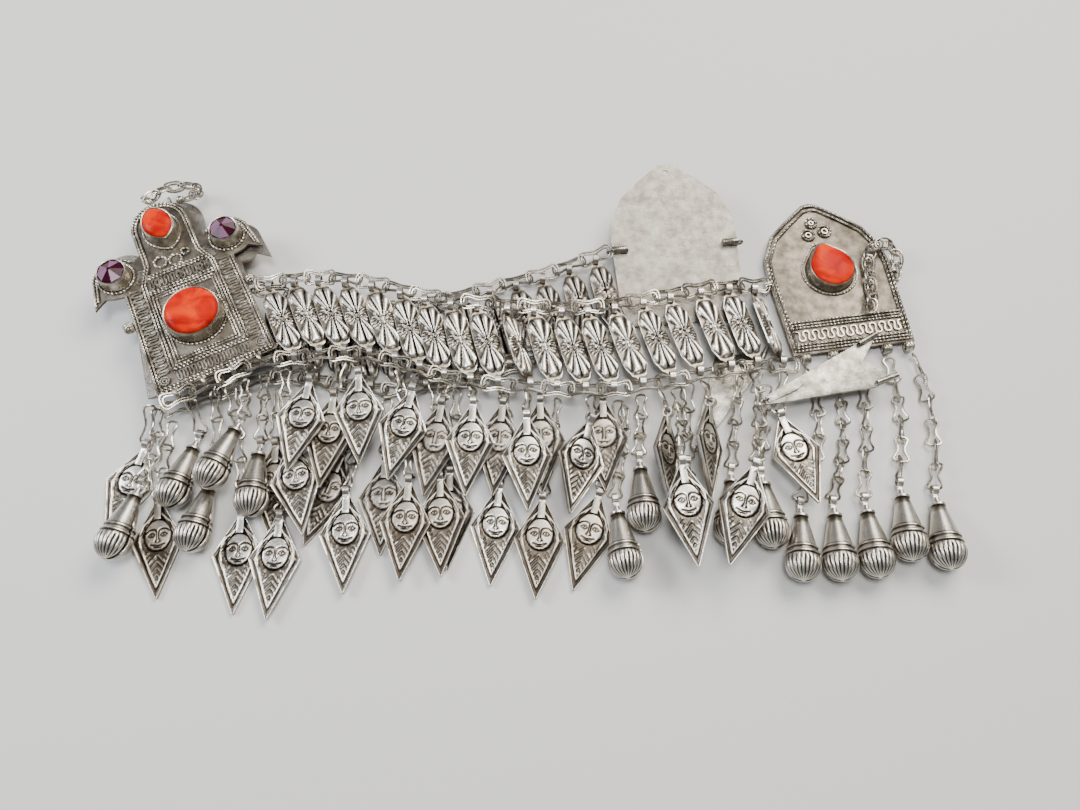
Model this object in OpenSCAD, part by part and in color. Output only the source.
/* [Plaques] */
// Thickness of the silver sheet of the plaques
sheet_t = 1.0; // [0.8:0.1:1.2]
// Height of the soldered borders above the sheet
border_h = 0.8; // [0.5:0.1:1.0]
// Height of the collars that hold the stones, above the sheet
collar_h = 5.5; // [4.5:0.25:6]
// Wall of the collars
collar_wall = 0.7; // [0.5:0.1:0.8]
// Radius of the hole in the top of each end plaque
hole_r = 1.1; // [0.9:0.1:1.3]

/* [Stones] */
// Radius of the round carnelian
round_stone_r = 10.2; // [9:0.2:10.4]
// Height of the domed stones
dome_h = 7.8; // [6.5:0.1:7.9]
// Radius of the glass stones on the wings
wing_stone_r = 5.2; // [4.5:0.1:5.4]

/* [Belt] */
// Distance between two plates of the back length
plate_pitch = 10.9; // [10.9:0.1:11]
// Length of an embossed plate, without its eyes
plate_len = 27.5; // [27:0.5:28]
// Width of an embossed plate
plate_w = 10.2; // [9.4:0.2:10.2]
// Number of plates on the front length
front_count = 19; // [18:1:19]
// Number of plates on the back length
back_count = 13; // [12:1:13]
// Radius of the wire of the belt's links
link_wire_r = 0.42; // [0.35:0.01:0.42]

/* [Pendants] */
// Length of a kite pendant from top corner to tip
kite_len = 36; // [34:0.5:37]
// Width of a kite pendant
kite_w = 18.5; // [17:0.5:19]
// Radius of the round end of a bell
bell_r = 6.3; // [5.9:0.1:6.3]
// Wall of a bell
bell_wall = 0.7; // [0.6:0.1:1]
// Radius of the drop chains
drop_r = 1.4; // [1.2:0.1:1.5]

/* [Hidden] */
$fn = 48;
e = 0.02;
silver = [0.72, 0.70, 0.66];
dark_silver = [0.52, 0.50, 0.47];
carnelian = [0.80, 0.16, 0.06];
plum = [0.28, 0.10, 0.20];

// The whole belt is moved so that the middle of its box stands over the origin
lay_shift = [13.2, -11.42, 0];

// Placement of the four plaques: bottom middle x, y, z, turn about the vertical
winged_place = [-122.2, 8.2, 11, 27];
under_place = [-126, 6.5, 9.3, 20];
end_place = [124.5, 23, 2.7, 8];
reversed_place = [58.5, 36, 0.6, 5];
reversed_tilt = 11.4;

// Winged plaque, its middle at x = 0 and its bottom edge at y = 0
wing_half_w = 23.5;
wing_side_h = 50;
arch_r = 12;
arch_y = 76;
wing_x = 23;
wing_y = 58.4;
wing_r = 9.6;
beak = [34.5, 47.4];
round_stone_y = 27;
top_stone_y = 73;
top_stone_r = 5.6;
top_stone_turn = 7.5;
panel_half_w = 13;
panel_y1 = 44;

// End plaque
end_half_w = 24.7;
end_stone_y = 36;
end_collar_h = 4.5;
end_dome_h = 6.4;
hole_y = 66.8;
side_loop_y = 33;

// Belt lines: plate number, then the height or the turn at that plate
pitch_gap = 0.75;
link_half_w = 1.6;
link_turn = 35;
link_lap = 0.25;
link_grow = 0.03;
eye_r = 2.0;
eye_wire = 0.3;
eye_w = 1.4;
plate_neck = 1.45;
link_drop = 1.85;
link_near = 1.65;
front_roll = [[0, 21], [1, 20], [2, 17], [3, 12], [4, 10], [18, 10]];
back_roll = [[0, -10], [8, -10], [9, 0], [10, 10], [12, 10]];
// Plates of the front length: x, y, z of the upper eye, lean
front_rows = [
    [-107.5, 46.6, 12.1, 24], [-98.5, 49.4, 10.7, 24], [-89, 50.6, 9.7, 23], [-78.5, 50.3, 9.2, 22],
    [-67.5, 48.4, 9.2, 20], [-56, 45, 9.2, 17], [-46, 42, 9.2, 16], [-35.5, 40, 9.2, 15.5],
    [-25, 39, 9.2, 15.5], [-13, 37.8, 9.2, 16], [-2.5, 37, 9.2, 15.5], [8.5, 36.5, 9.2, 15],
    [19, 36.5, 9.2, 15.5], [29.5, 38, 9.2, 16.5], [41, 40.3, 9.2, 16.5], [52, 42.8, 9.2, 16],
    [64.5, 45.7, 8.4, 15.5], [76.3, 48.6, 6.8, 13.5], [87.3, 49.7, 4.7, 13]
];
back_x0 = -107.9;
back_y = [[0, 45], [1, 43.4], [3, 40], [4, 39.6], [5, 40.8], [6, 43], [8, 50], [10, 56], [12, 62.8]];
back_z = [[0, 7.4], [1, 5.2], [2, 2.8], [10, 2.8], [11, 4.9], [12, 6.8]];
back_low_z = [[0, 4.4], [2, 2.6], [10, 2.6], [12, 4.9]];
back_lean = [[0, 17], [12, 14]];
turned_plates = [9, 18];
turned_roll = 48;
// Links beyond the plates, along the bottom edges of the winged plaques: x, y, z
front_corner = [[-135.5, -1.9, 11.9], [-125.8, 3.1, 11.9], [-116, 7.4, 11.9], [-106.8, 14.3, 12.1]];
back_corner = [[-138.4, -2.6, 4.6], [-128.6, 1, 4.6], [-118.8, 5, 4.6], [-109, 8.6, 4.6]];

// Kite pendants: x, y, z of the eye's foot, turn, roll, tilt,
// then where its chain starts (x, y, z) and the point it passes (x, y, z)
kites = [
    [-148.5, -17, 0, -13, 0, 0, -147, -5, 8, -148, -10, 4],
    [-140.5, -38, 0, 9, 0, 0, -138, -11, 7, -140, -24, 3.4],
    [-109, -43, 0, 3, 0, 0, -117.5, 2.6, 9, -114, -15, 2.4],
    [-94, -45, 1.8, -1, 0, 0, -90, 4, 4, -91, -20, 3.2],
    [-87, 6, 9.6, -7, 0, 0, -88, 12.8, 8.4, -88, 11, 9.8],
    [-78, 1, 7.2, -3, 0, 0, -77, 14.5, 7.4, -77, 9, 8],
    [-69, 9, 9.7, 5, 0, 0, -69, 14.6, 9, -69, 13.4, 10],
    [-92.8, -17, 5.4, 13, 0, 0, -98, 10.6, 7.5, -97, -1, 6.4],
    [-71, -36, 1.8, 3, 0, 0, -66, 1, 3, -69, -18, 1.6],
    [-48, 3, 7.9, -11, 0, 0, -48, 8.6, 8, -48, 7.4, 8.8],
    [-48, -32, 3.7, -2, 0, 0, -54, 11.2, 6.6, -51.5, -6, 5.8],
    [-37, -30, 1.9, 3, 0, 0, -41, 6, 6, -38, -12, 2.6],
    [-25, -2.5, 7.9, -3, 0, 0, -25.6, 3.2, 8, -25.4, 2, 9],
    [-15, -33, 0, -4, 0, 0, -14, 3, 2.2, -13, -14, 1.6],
    [-5, -8, 8, 1, 0, 0, -4.4, 0.8, 7.8, -4.6, -2, 9.2],
    [19, -10, 8.9, -12, 24, 0, 19, -0.8, 8, 19, -4, 9.8],
    [1, -38, 1.8, -4, 0, 0, 7, 0, 2.6, 4, -18, 1.8],
    [22, -36, 0, -16, 0, 0, 30, 0, 2.2, 27, -18, 1.6],
    [48, -8, 9, -1, 52, 0, 46, 1.8, 8.2, 46.8, -2, 10],
    [50, -30, 17.6, 6, 0, 6, 52, 3, 7.6, 52, -12, 13],
    [64, -4, 9.6, -3, 52, 0, 63, 5.4, 8.2, 63.4, 2, 10.4],
    [76, -31, 17.6, -18, 0, 6, 83, 10, 7.6, 81, -10, 13],
    [91, -6, 3.8, 14, 0, -6, 95, 11, 4.4, 93, 3, 4],
    [-100, -16, 0, 4, 0, 0, -101, 4, 4, -101, -6, 1.6]
];
// Kite pendants that lie behind the others, in the same columns; one hangs without a chain
back_kites = [
    [-74, -20, 0, -17, 0, 0, -74, -2, 3, -74, -10, 1.6],
    [-58, -22, 0, 1, 0, 0, -59, 0, 3, -58, -10, 1.6],
    [-33.5, -27, 0, 1, 0, 0, -32, 4, 3, -32.5, -12, 1.5],
    [-37, -2, 6.1, -8, 0, 0, -37, 3.6, 7.6, -37, 2.4, 7.8],
    [-14, -1, 4.2, -5, 0, 0, -15, 4.6, 5.8, -14.6, 3.4, 6],
    [0, -0.8, 5.9, 1, 0, 0],
    [24, 1, 3.6, 0, 0, 0, 25, 8, 5.8, 24.5, 6, 5.7]
];
// Bells: x, y, z of the eye, turn, then the chain's start and the point it passes
bells = [
    [-145.5, -33, 5.4, -10, -143.5, -7, 9, -143, -18, 6.4],
    [-128.5, -13.8, 3.2, -11, -131.5, -3, 9.4, -130.5, -7, 6.4],
    [-120.5, -29.5, 3.2, -7, -123, 0.4, 9.4, -122, -10, 5],
    [-111, -9, 9.2, -17, -112.5, 5, 9.8, -111.5, 0.5, 9.8],
    [-104.5, -17, 5.2, 2, -105, 7.5, 9.6, -104.8, -3, 7],
    [37, -22, 3.2, 1, 38.5, 0, 7, 38, -12, 3],
    [27.4, -39, 3.2, 6, 33, -3, 2.6, 31, -20, 1.6],
    [55, -24, 3.2, -2, 57, 5, 7, 56, -10, 3],
    [71, -27, 3.2, -7, 77, 8, 7, 74, -10, 3],
    [81.8, -28, 3.2, 2, 87, 5, 5, 85, -12, 3],
    [95, -40, 3.2, -7, 105, 14, 1.5, 106, -14, 1.7],
    [106.9, -39.7, 3.2, -4, 116, 16, 1.5, 115, -14, 1.7],
    [118.6, -38.6, 3.2, -1, 127, 17, 1.5, 124, -12, 1.7],
    [132.5, -32.7, 3.2, -4, 138, 19, 1.5, 138, -8, 1.7],
    [144.9, -35.7, 3.2, -3, 148, 20, 1.5, 151, -6, 1.7]
];

// Fishtail hooks: x, y, z of the point, turn
hook_front = [85, -2, 7.2, 23];
hook_back = [58.6, -19, 1.1, 65];
hook_len = 56;
hook_t = 1.2;

// Direction of the turn t about the vertical, 0 pointing along -Y
function down(t) = [sin(t), -cos(t), 0];
function front_eye(k) = [front_rows[k][0], front_rows[k][1], front_rows[k][2]];
function front_link(k) = front_eye(k) + [0, link_drop, 0];
function back_link(k) = [back_x0 + plate_pitch * k, lookup(k, back_y) + link_near, lookup(k, back_z)];
function eye_span() = plate_len + 2 * (eye_r + eye_wire - 0.5 + plate_neck);
function back_eye(k) = back_link(k) - [0, link_near, 0];
function front_low(k) = front_eye(k) + eye_span() * down(front_rows[k][3]) - [0, link_near, 0];
function back_dip(k) = asin((lookup(k, back_z) - lookup(k, back_low_z)) / eye_span());
function back_low(k) = back_eye(k) + eye_span() * (cos(back_dip(k)) * down(lookup(k, back_lean))
    - [0, 0, sin(back_dip(k))]) - [0, link_drop, 0];

module laid() translate(lay_shift) children();

// Puts a piece drawn face up with its bottom middle at the origin in its place
module placed(p) laid() translate([p[0], p[1], p[2]]) rotate(p[3]) children();

// Turns a piece face down about its own upright middle line
module reversed() rotate([0, 180, 0]) children();

module wire_ring(r, wire) rotate_extrude() translate([r, 0]) circle(r = wire);

module tube(r, wall, h) difference() {
    cylinder(r = r + wall, h = h);
    translate([0, 0, -e]) cylinder(r = r, h = h + 2 * e);
}

module bar(x0, y0, x1, y1, w, h) {
    translate([x0, y0, 0])
        rotate(atan2(y1 - y0, x1 - x0))
            translate([0, -w / 2, 0])
                cube([norm([x1 - x0, y1 - y0]), w, h]);
}

module pear_point(r, grow) {
    side = (r + grow) * 0.82;
    foot = (r + grow) * 0.47;
    polygon([[-side, foot], [0, r * 1.45 + grow], [side, foot]]);
}

module pear_outline(r, grow) {
    circle(r = r + grow);
    pear_point(r, grow);
}

module pear_collar(r, h) {
    linear_extrude(h) difference() {
        pear_outline(r, collar_wall + 0.16);
        pear_outline(r, 0.16);
    }
}

// A leaf has a point at each end
module leaf_outline(r, grow) {
    pear_outline(r, grow);
    rotate(180) pear_point(r, grow);
}

module leaf_collar(r, h) {
    linear_extrude(h) difference() {
        leaf_outline(r, collar_wall + 0.16);
        leaf_outline(r, 0.16);
    }
}

// A domed stone: a straight girdle under a part of a sphere
module dome(r, h) {
    cap = h * 0.45;
    ball = (r * r + cap * cap) / (2 * cap);
    intersection() {
        cylinder(r = r, h = h);
        translate([0, 0, h - ball]) sphere(r = ball, $fn = 96);
    }
}

module pear_stone(r, h) {
    cap = h * 0.45;
    wide = r * 1.5;
    ball = (wide * wide + cap * cap) / (2 * cap);
    intersection() {
        union() {
            cylinder(r = r, h = h);
            linear_extrude(h) pear_point(r, 0);
        }
        translate([0, 0, h - ball]) sphere(r = ball, $fn = 96);
    }
}

module leaf_stone(r, h) {
    pear_stone(r, h);
    rotate(180) pear_stone(r, h);
}

// A cut stone: girdle, eight facets and a flat table
module cut_stone(r, h) {
    union() {
        cylinder(r = r, h = h * 0.6, $fn = 8);
        translate([0, 0, h * 0.6]) cylinder(r1 = r, r2 = r * 0.35, h = h * 0.4, $fn = 8);
    }
}

module edge_eye(x, y, z, turn) {
    translate([x, y, z]) rotate([0, 0, turn]) rotate([0, 90, 0]) wire_ring(1.8, 0.5);
}

module rosette(x, y, r) translate([x, y, sheet_t - e]) tube(r - 0.5, 0.9, 0.5);

module winged_outline() {
    polygon([[-wing_half_w, 0], [wing_half_w, 0], [wing_half_w - 1, wing_side_h],
             [arch_r, 64], [arch_r, arch_y], [-arch_r, arch_y], [-arch_r, 64],
             [-wing_half_w + 1, wing_side_h]]);
    translate([0, arch_y]) circle(r = arch_r);
    for (side = [-1, 1]) {
        translate([side * wing_x, wing_y]) circle(r = wing_r);
        polygon([[side * (wing_x + wing_r), wing_y], side < 0 ? [-beak[0], beak[1]] : beak,
                 [side * (wing_x + 6.5), wing_y - 7.6], [side * wing_x, wing_y]]);
        polygon([[side * (arch_r - 1), 60], [side * (wing_half_w - 2), wing_side_h - 2],
                 [side * wing_x, wing_y], [side * (arch_r - 1), 66]]);
    }
}

module winged_relief() {
    translate([0, 0, sheet_t - e]) {
        for (side = [-1, 1]) {
            bar(side * (wing_half_w - 1), 0.6, side * (wing_half_w - 2), wing_side_h, 1.4, border_h);
            bar(side * (wing_half_w - 7.5), 10, side * (wing_half_w - 8.2), 56, 1.2, border_h);
            bar(side * (arch_r - 0.9), 56, side * (arch_r - 0.9), arch_y, 1.4, border_h);
        }
        bar(-wing_half_w + 0.8, 0.8, wing_half_w - 0.8, 0.8, 1.4, border_h);
        bar(-wing_half_w + 0.8, 9, wing_half_w - 0.8, 9, 1.2, border_h);
        bar(-panel_half_w - 3, panel_y1 + 1, panel_half_w + 3, panel_y1 + 1, 1.2, border_h);
        bar(-panel_half_w - 3, 52, panel_half_w + 3, 52, 1.2, border_h);
        translate([0, arch_y, 0])
            rotate_extrude(angle = 180) translate([arch_r - 1.6, 0]) square([1.4, border_h]);
        for (i = [-5 : 5])
            translate([i * 3.9, 5, 0]) tube(0.8, 0.7, 0.6);
        for (side = [-1, 1], i = [0 : 8])
            translate([side * (wing_half_w - 4.6), 12.5 + i * 4.4, 0]) tube(0.8, 0.7, 0.6);
    }
}

module winged_collars() {
    translate([0, 0, sheet_t - e]) {
        translate([0, round_stone_y, 0]) tube(round_stone_r + 0.1, collar_wall, collar_h);
        translate([0, top_stone_y, 0]) rotate(top_stone_turn) leaf_collar(top_stone_r, collar_h);
        for (side = [-1, 1])
            translate([side * wing_x, wing_y, 0]) tube(wing_stone_r + 0.1, collar_wall, collar_h);
    }
}

module winged_body(loops) {
    union() {
        linear_extrude(sheet_t) winged_outline();
        winged_relief();
        winged_collars();
        rosette(-4.6, 59, 2);
        rosette(0.2, 62.6, 2);
        rosette(5, 59, 2);
        for (side = [-1, 1]) edge_eye(side * (wing_half_w + 1.3), 34, 0.9, 90);
        for (x = loops)
            translate([x, -1.6, 0.9]) rotate([0, 90, 0]) wire_ring(1.9, 0.35);
        edge_eye(0, arch_y + arch_r + 1.2, 0.9, 0);
    }
}

module winged_plaque() {
    color(silver) placed(winged_place) winged_body([-16.4, -5.5, 5.4, 16.3]);
}

module winged_plaque_under() {
    color(dark_silver) placed(under_place) reversed() winged_body([]);
}

module winged_stone(place) placed(place) translate([0, 0, sheet_t + 0.1]) children();

module round_carnelian() {
    color(carnelian) winged_stone(winged_place)
        translate([0, round_stone_y, 0]) dome(round_stone_r, dome_h);
}

module top_carnelian() {
    color(carnelian) winged_stone(winged_place)
        translate([0, top_stone_y, 0]) rotate(top_stone_turn) leaf_stone(top_stone_r, dome_h - 0.6);
}

module wing_glass() {
    color(plum) winged_stone(winged_place)
        for (side = [-1, 1])
            translate([side * wing_x, wing_y, 0]) cut_stone(wing_stone_r, dome_h - 0.8);
}

module under_stones() {
    color(carnelian) placed(under_place) reversed() translate([0, 0, sheet_t + 0.1]) {
        translate([0, round_stone_y, 0]) dome(round_stone_r, dome_h);
        translate([0, top_stone_y, 0]) rotate(top_stone_turn) leaf_stone(top_stone_r, dome_h - 0.6);
        for (side = [-1, 1])
            translate([side * wing_x, wing_y, 0]) cut_stone(wing_stone_r, dome_h - 0.8);
    }
}

function end_corners() = [
    [-end_half_w, 0], [end_half_w, 0], [end_half_w + 1.4, 38], [end_half_w + 0.6, 46], [20, 56.5],
    [12, 63.5], [3, 70.4], [0, 71], [-3, 70.4], [-12, 63.5], [-20, 56.5], [-end_half_w - 0.6, 46],
    [-end_half_w - 1.4, 38]
];

module end_relief() {
    c = end_corners();
    n = len(c);
    translate([0, 0, sheet_t - e]) {
        for (i = [1 : n - 1]) {
            a = c[i] * 0.965 + [0, 1];
            b = c[(i + 1) % n] * 0.965 + [0, 1];
            bar(a[0], a[1], b[0], b[1], 1.4, border_h);
        }
        bar(-end_half_w + 1, 1.6, end_half_w - 1, 1.6, 1.4, border_h);
        bar(-end_half_w + 1, 4.4, end_half_w - 1, 4.4, 1.0, border_h);
        bar(-end_half_w + 1, 11.6, end_half_w - 1, 11.6, 1.4, border_h);
        for (i = [-6 : 6])
            translate([i * 3.4, 8, 0]) tube(0.8, 0.7, 0.6);
    }
}

// Twisted tube soldered under the edge, with the ring at its outer end
module side_tube(side) {
    translate([side * (end_half_w - 5), side_loop_y, -1.25])
        rotate([0, side * 90, 0]) cylinder(r = 1.3, h = 6.1);
    edge_eye(side * (end_half_w + 1.6), side_loop_y, 0.3, 90);
}

module end_body(loops) {
    union() {
        difference() {
            linear_extrude(sheet_t) polygon(end_corners());
            translate([0, hole_y, -1]) cylinder(r = hole_r, h = sheet_t + 2);
        }
        end_relief();
        translate([0, end_stone_y, sheet_t - e]) pear_collar(8.6, end_collar_h);
        side_tube(-1);
        side_tube(1);
        rosette(-4, 56, 2);
        rosette(4, 56, 2);
        rosette(0, 62, 1.8);
        for (x = loops) edge_eye(x, -1.6, 0.3, 0);
    }
}

module reversed_placed() {
    placed(reversed_place) rotate([reversed_tilt, 0, 0]) reversed() translate([0, 0, -sheet_t]) children();
}

module end_plaque() {
    color(silver) placed(end_place) end_body([-20, -9, 2, 13, 22]);
}

module end_plaque_reversed() {
    color(silver) reversed_placed() end_body([]);
}

module pear_carnelian() {
    color(carnelian) placed(end_place)
        translate([0, end_stone_y, sheet_t + 0.1]) pear_stone(8.6, end_dome_h);
}

module pear_carnelian_reversed() {
    color(carnelian) reversed_placed()
        translate([0, end_stone_y, sheet_t + 0.1]) pear_stone(8.6, end_dome_h);
}

// Embossed plate: long, with cut corners and a little wider in the middle
module plate_outline(inset) {
    w = plate_w / 2 - inset;
    l = plate_len / 2 - inset;
    polygon([[w, 0], [w * 0.95, l * 0.68], [w * 0.6, l], [-w * 0.6, l], [-w * 0.95, l * 0.68], [-w, 0],
             [-w * 0.95, -l * 0.68], [-w * 0.6, -l], [w * 0.6, -l], [w * 0.95, -l * 0.68]]);
}

module embossed_plate() {
    union() {
        linear_extrude(0.6) plate_outline(0);
        linear_extrude(1.1) difference() {
            plate_outline(0.9);
            plate_outline(1.5);
        }
        translate([0, 0, 0.3]) cylinder(r1 = 2.9, r2 = 1.6, h = 2.1);
        for (side = [-1, 1])
            translate([0, side * 6.4, 0.3]) cylinder(r1 = 2.2, r2 = 1.2, h = 1.3);
    }
}

// Flat ring at the end of a plate, standing on edge so that a link passes through
module plate_eye() {
    rotate([0, 90, 0]) translate([0, 0, -eye_w / 2]) difference() {
        cylinder(r = eye_r + eye_wire, h = eye_w, $fn = 8);
        translate([0, 0, -e]) cylinder(r = eye_r, h = eye_w + 2 * e, $fn = 8);
    }
}

// A plate hung between two eyes, the upper eye at the origin
module hung_plate(lean, roll, dip) {
    rotate([dip, 0, lean]) {
        for (end = [0, 1])
            translate([0, -eye_span() * end, 0]) rotate([0, 0, 180 * end]) {
                rotate(-lean) plate_eye();
                translate([-0.8, -1.9 - plate_neck - 0.9, -0.9]) cube([1.6, plate_neck + 0.9, 0.8]);
            }
        translate([0, -eye_span() / 2, 0]) rotate([0, roll, 0]) translate([0, 0, -0.9]) embossed_plate();
    }
}

module front_plates() {
    color(silver) laid()
        for (k = [0 : front_count - 1])
            translate(front_eye(k))
                hung_plate(front_rows[k][3], len(search(k, turned_plates)) > 0 ? turned_roll : lookup(k, front_roll), 0);
}

module back_plates() {
    color(dark_silver) laid()
        for (k = [0 : back_count - 1])
            translate(back_eye(k)) hung_plate(lookup(k, back_lean), lookup(k, back_roll), back_dip(k));
}

// Long link along X: its straight wires lap over the half turns at both ends
module link(len) {
    straight = max(len / 2 - link_half_w, 0.1);
    for (side = [-1, 1]) {
        translate([side * straight, 0, 0])
            rotate(side * 90 - 90) rotate(-90)
                rotate_extrude(angle = 180) translate([link_half_w, 0]) circle(r = link_wire_r);
        translate([-straight - link_lap, side * link_half_w, 0])
            rotate([0, 90, 0]) cylinder(r = link_wire_r + link_grow, h = 2 * (straight + link_lap));
    }
}

// Links with their middles at the points c, each turned the other way from the last
module link_run(c) {
    n = len(c);
    for (i = [0 : n - 1]) {
        a = i == 0 ? c[0] * 1.5 - c[1] * 0.5 : (c[i - 1] + c[i]) / 2;
        b = i == n - 1 ? c[n - 1] * 1.5 - c[n - 2] * 0.5 : (c[i] + c[i + 1]) / 2;
        d = b - a;
        translate((a + b) / 2)
            rotate([0, -asin(d[2] / norm(d)), atan2(d[1], d[0])])
                rotate([i % 2 == 0 ? link_turn : -link_turn, 0, 0])
                    link(norm(d) + 2 * pitch_gap);
    }
}

module front_top_chain() {
    color(silver) laid() link_run([for (k = [0 : front_count - 1]) front_link(k)]);
}

module front_bottom_chain() {
    color(silver) laid() link_run(concat(front_corner, [front_low(0) - [0, 0.55, 0]],
        [for (k = [1 : front_count - 1]) front_low(k)]));
}

module back_top_chain() {
    color(dark_silver) laid() link_run([for (k = [0 : back_count - 1]) back_link(k)]);
}

module back_bottom_chain() {
    color(dark_silver) laid() link_run(concat(back_corner, [back_low(0) + [0, 0.8, 0]],
        [for (k = [1 : back_count - 1]) back_low(k)]));
}

// Drop chains: a round tube through the start, the point passed and the pendant's eye
rings = 7;
sides = 8;
function along(a, m, b, t) =
    let (c = 2 * m - (a + b) / 2)
        (1 - t) * (1 - t) * a + 2 * t * (1 - t) * c + t * t * b;
function unit(v) = v / norm(v);
function band(lo, hi, n) = [for (i = [0 : n - 1]) [hi + i, hi + (i + 1) % n, lo + (i + 1) % n, lo + i]];
function tube_ring(a, m, b, i) =
    let (t = i / (rings - 1),
         d = unit(along(a, m, b, min(t + 0.05, 1)) - along(a, m, b, max(t - 0.05, 0))),
         s = unit(cross(d, [0, 0, 1])),
         u = cross(s, d),
         p = along(a, m, b, t))
        [for (j = [0 : sides - 1]) p + drop_r * (cos(360 * j / sides) * s - sin(360 * j / sides) * u)];

module drop_chain(a, m, b) {
    points = [for (i = [0 : rings - 1]) each tube_ring(a, m, b, i)];
    walls = [for (i = [0 : rings - 2]) each band(i * sides, (i + 1) * sides, sides)];
    last = (rings - 1) * sides;
    faces = concat([[for (j = [0 : sides - 1]) j]], walls, [[for (j = [sides - 1 : -1 : 0]) last + j]]);
    polyhedron(points, faces, convexity = 4);
}

kite_eye_z = 2.0;
chain_gap = 3.0;
module kite_chain(k) {
    eye = [k[0], k[1], k[2] + kite_eye_z];
    drop_chain([k[6], k[7], k[8]], [k[9], k[10], k[11]], eye - chain_gap * down(k[3]));
}

module bell_chain(b) {
    drop_chain([b[4], b[5], b[6]], [b[7], b[8], b[9]], [b[0], b[1], b[2]] - chain_gap * down(b[3]));
}

module chains_between(x0, x1) {
    color(silver) laid() {
        for (k = concat(kites, back_kites))
            if (len(k) > 6 && k[0] >= x0 && k[0] < x1) kite_chain(k);
        for (b = bells)
            if (b[0] >= x0 && b[0] < x1) bell_chain(b);
    }
}

module left_drop_chains() chains_between(-200, -62);

module middle_drop_chains() chains_between(-62, 30);

module right_drop_chains() chains_between(30, 200);

// Kite pendant, its eye over the origin, its tip along -Y
kite_waist = 15;
kite_base = 1.0;
kite_rim = 1.6;
module kite_outline(inset) {
    top = -1.5 - inset * 1.9;
    tip = -1.5 - kite_len + inset * 2.4;
    half = kite_w / 2 - inset * 1.15;
    polygon([[0, top], [half, -1.5 - kite_waist], [0, tip], [-half, -1.5 - kite_waist]]);
}

module kite_face() {
    translate([0, -14, kite_base - e]) {
        cylinder(r = 4.4, h = 0.35);
        for (side = [-1, 1])
            translate([side * 1.7, 1, 0]) cylinder(r = 0.7, h = 0.6);
        translate([-0.35, -1.2, 0]) cube([0.7, 2.6, 0.7]);
        translate([-1.1, -2.6, 0]) cube([2.2, 0.6, 0.6]);
    }
    for (i = [0 : 2], side = [-1, 1])
        translate([0, 0, kite_base - e])
            bar(0, -22.5 - i * 3, side * (3.2 - i * 0.8), -20 - i * 3, 0.6, 0.45);
}

module kite() {
    union() {
        linear_extrude(kite_base) kite_outline(0);
        linear_extrude(kite_rim) difference() {
            kite_outline(0);
            kite_outline(1);
        }
        kite_face();
        translate([-0.8, -8.4, kite_base - e]) cube([1.6, 7.4, 0.9]);
        translate([0, 0, kite_eye_z]) rotate([0, 90, 0]) wire_ring(1.45, 0.5);
    }
}

module hung_kite(k) {
    laid() translate([k[0], k[1], k[2]])
        rotate([0, 0, k[3]])
            translate([0, 0, kite_eye_z]) rotate([k[5], k[4], 0]) translate([0, 0, -kite_eye_z])
                kite();
}

module kite_pendant(i) color(silver) hung_kite(kites[i]);

module back_kite_pendants() {
    color(dark_silver) for (k = back_kites) hung_kite(k);
}

// Half section of a bell: the eye at the origin, the round end at the bottom
bell_ball_y = -24.6;
bell_neck_y = -6.4;
slit_w = 0.8;
module bell_section(inner) {
    r = bell_r - inner;
    intersection() {
        union() {
            translate([0, bell_ball_y]) circle(r = r);
            polygon([[0, bell_neck_y - inner], [2.4 - inner, bell_neck_y - inner],
                     [r * 0.97, bell_ball_y + r * 0.25], [0, bell_ball_y]]);
        }
        translate([0, -40]) square([20, 40]);
    }
}

// A bell hangs along -Z from its eye, and the slit is on the side that lies down
module bell() {
    rotate([0, 90, 0]) wire_ring(1.45, 0.5);
    rotate([-90, 0, 0]) difference() {
        union() {
            rotate_extrude() bell_section(0);
            translate([0, 0, bell_neck_y - 0.2]) cylinder(r = 1.1, h = 5);
            translate([0, 0, bell_neck_y]) wire_ring(2.2, 0.6);
            translate([0, 0, -19.2]) wire_ring(5.2, 0.55);
            translate([0, 0, -21.2]) wire_ring(5.65, 0.55);
        }
        rotate_extrude() bell_section(bell_wall);
        translate([-slit_w / 2, 0, -33]) cube([slit_w, 20, 12]);
    }
}

module hung_bell(b) {
    tilt = 8;
    laid() translate([b[0], b[1], b[2]])
        rotate([0, 0, b[3]]) rotate([-tilt, 0, 0]) bell();
}

module left_bells() {
    color(silver) for (i = [0 : 4]) hung_bell(bells[i]);
}

module middle_bells() {
    color(silver) for (i = [5 : 9]) hung_bell(bells[i]);
}

module right_bells() {
    color(silver) for (i = [10 : 14]) hung_bell(bells[i]);
}

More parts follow.
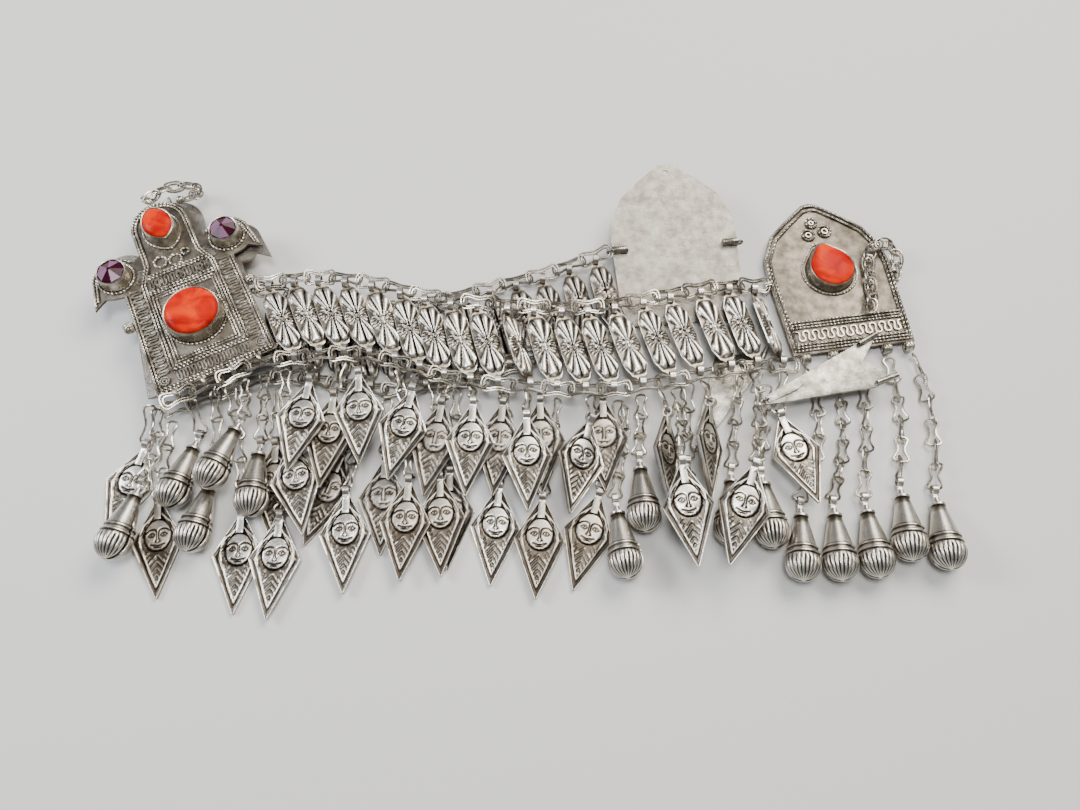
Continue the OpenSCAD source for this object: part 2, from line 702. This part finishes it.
// Fishtail hook, its point at the origin and its tail along +X
module fishtail() {
    tail = 9;
    union() {
        linear_extrude(hook_t)
            polygon([[0, -1.6], [0, 1.6], [hook_len, tail], [hook_len - 12, 0.5], [hook_len - 5, -tail - 2],
                     [hook_len - 14, -tail - 2.5]]);
        for (side = [-1, 1])
            translate([hook_len - 4 - (side < 0 ? 6 : 0), side * (tail - 1), hook_t + 0.6])
                rotate([0, 90, 0]) cylinder(r = 0.9, h = 4);
        translate([0.6, 0, hook_t / 2]) rotate([90, 0, 0]) wire_ring(1.3, 0.4);
    }
}

module hook_at(p) laid() translate([p[0], p[1], p[2]]) rotate(p[3]) fishtail();

module front_hook() color(silver) hook_at(hook_front);

module back_hook() color(silver) hook_at(hook_back);

// Middles of the links of the two loose chains: x, y, z
clasp_links = [[-163, 90, 12.4], [-160.3, 95, 10.8], [-156.4, 99, 8.4], [-151, 100.6, 6.6],
    [-146.2, 98.4, 7.4], [-144.2, 93.2, 9.8], [-147.2, 89, 12.6]];
side_links = [[147.8, 59.9, 2.4], [148.5, 64.5, 4.4], [146.8, 68.8, 6.6], [142.8, 71.1, 7.2],
    [138.3, 69.9, 7], [135.7, 66.1, 6.5], [135, 61.4, 6], [135, 56, 5.6], [134.9, 50.6, 5.5],
    [134.6, 45.2, 5.5], [132.8, 40.6, 6.1]];

// The last link of the clasp chain carries a ball
module clasp_chain() {
    color(silver) laid() {
        link_run(clasp_links);
        translate([-149.6, 87.4, 13.9]) sphere(r = 1.8);
    }
}

module side_chain() {
    color(silver) laid() link_run(side_links);
}

winged_plaque();
winged_plaque_under();
end_plaque();
end_plaque_reversed();
round_carnelian();
top_carnelian();
wing_glass();
under_stones();
pear_carnelian();
pear_carnelian_reversed();
front_plates();
back_plates();
front_top_chain();
front_bottom_chain();
back_top_chain();
back_bottom_chain();
left_drop_chains();
middle_drop_chains();
right_drop_chains();
for (i = [0 : len(kites) - 1])
    kite_pendant(i);
back_kite_pendants();
left_bells();
middle_bells();
right_bells();
front_hook();
back_hook();
clasp_chain();
side_chain();
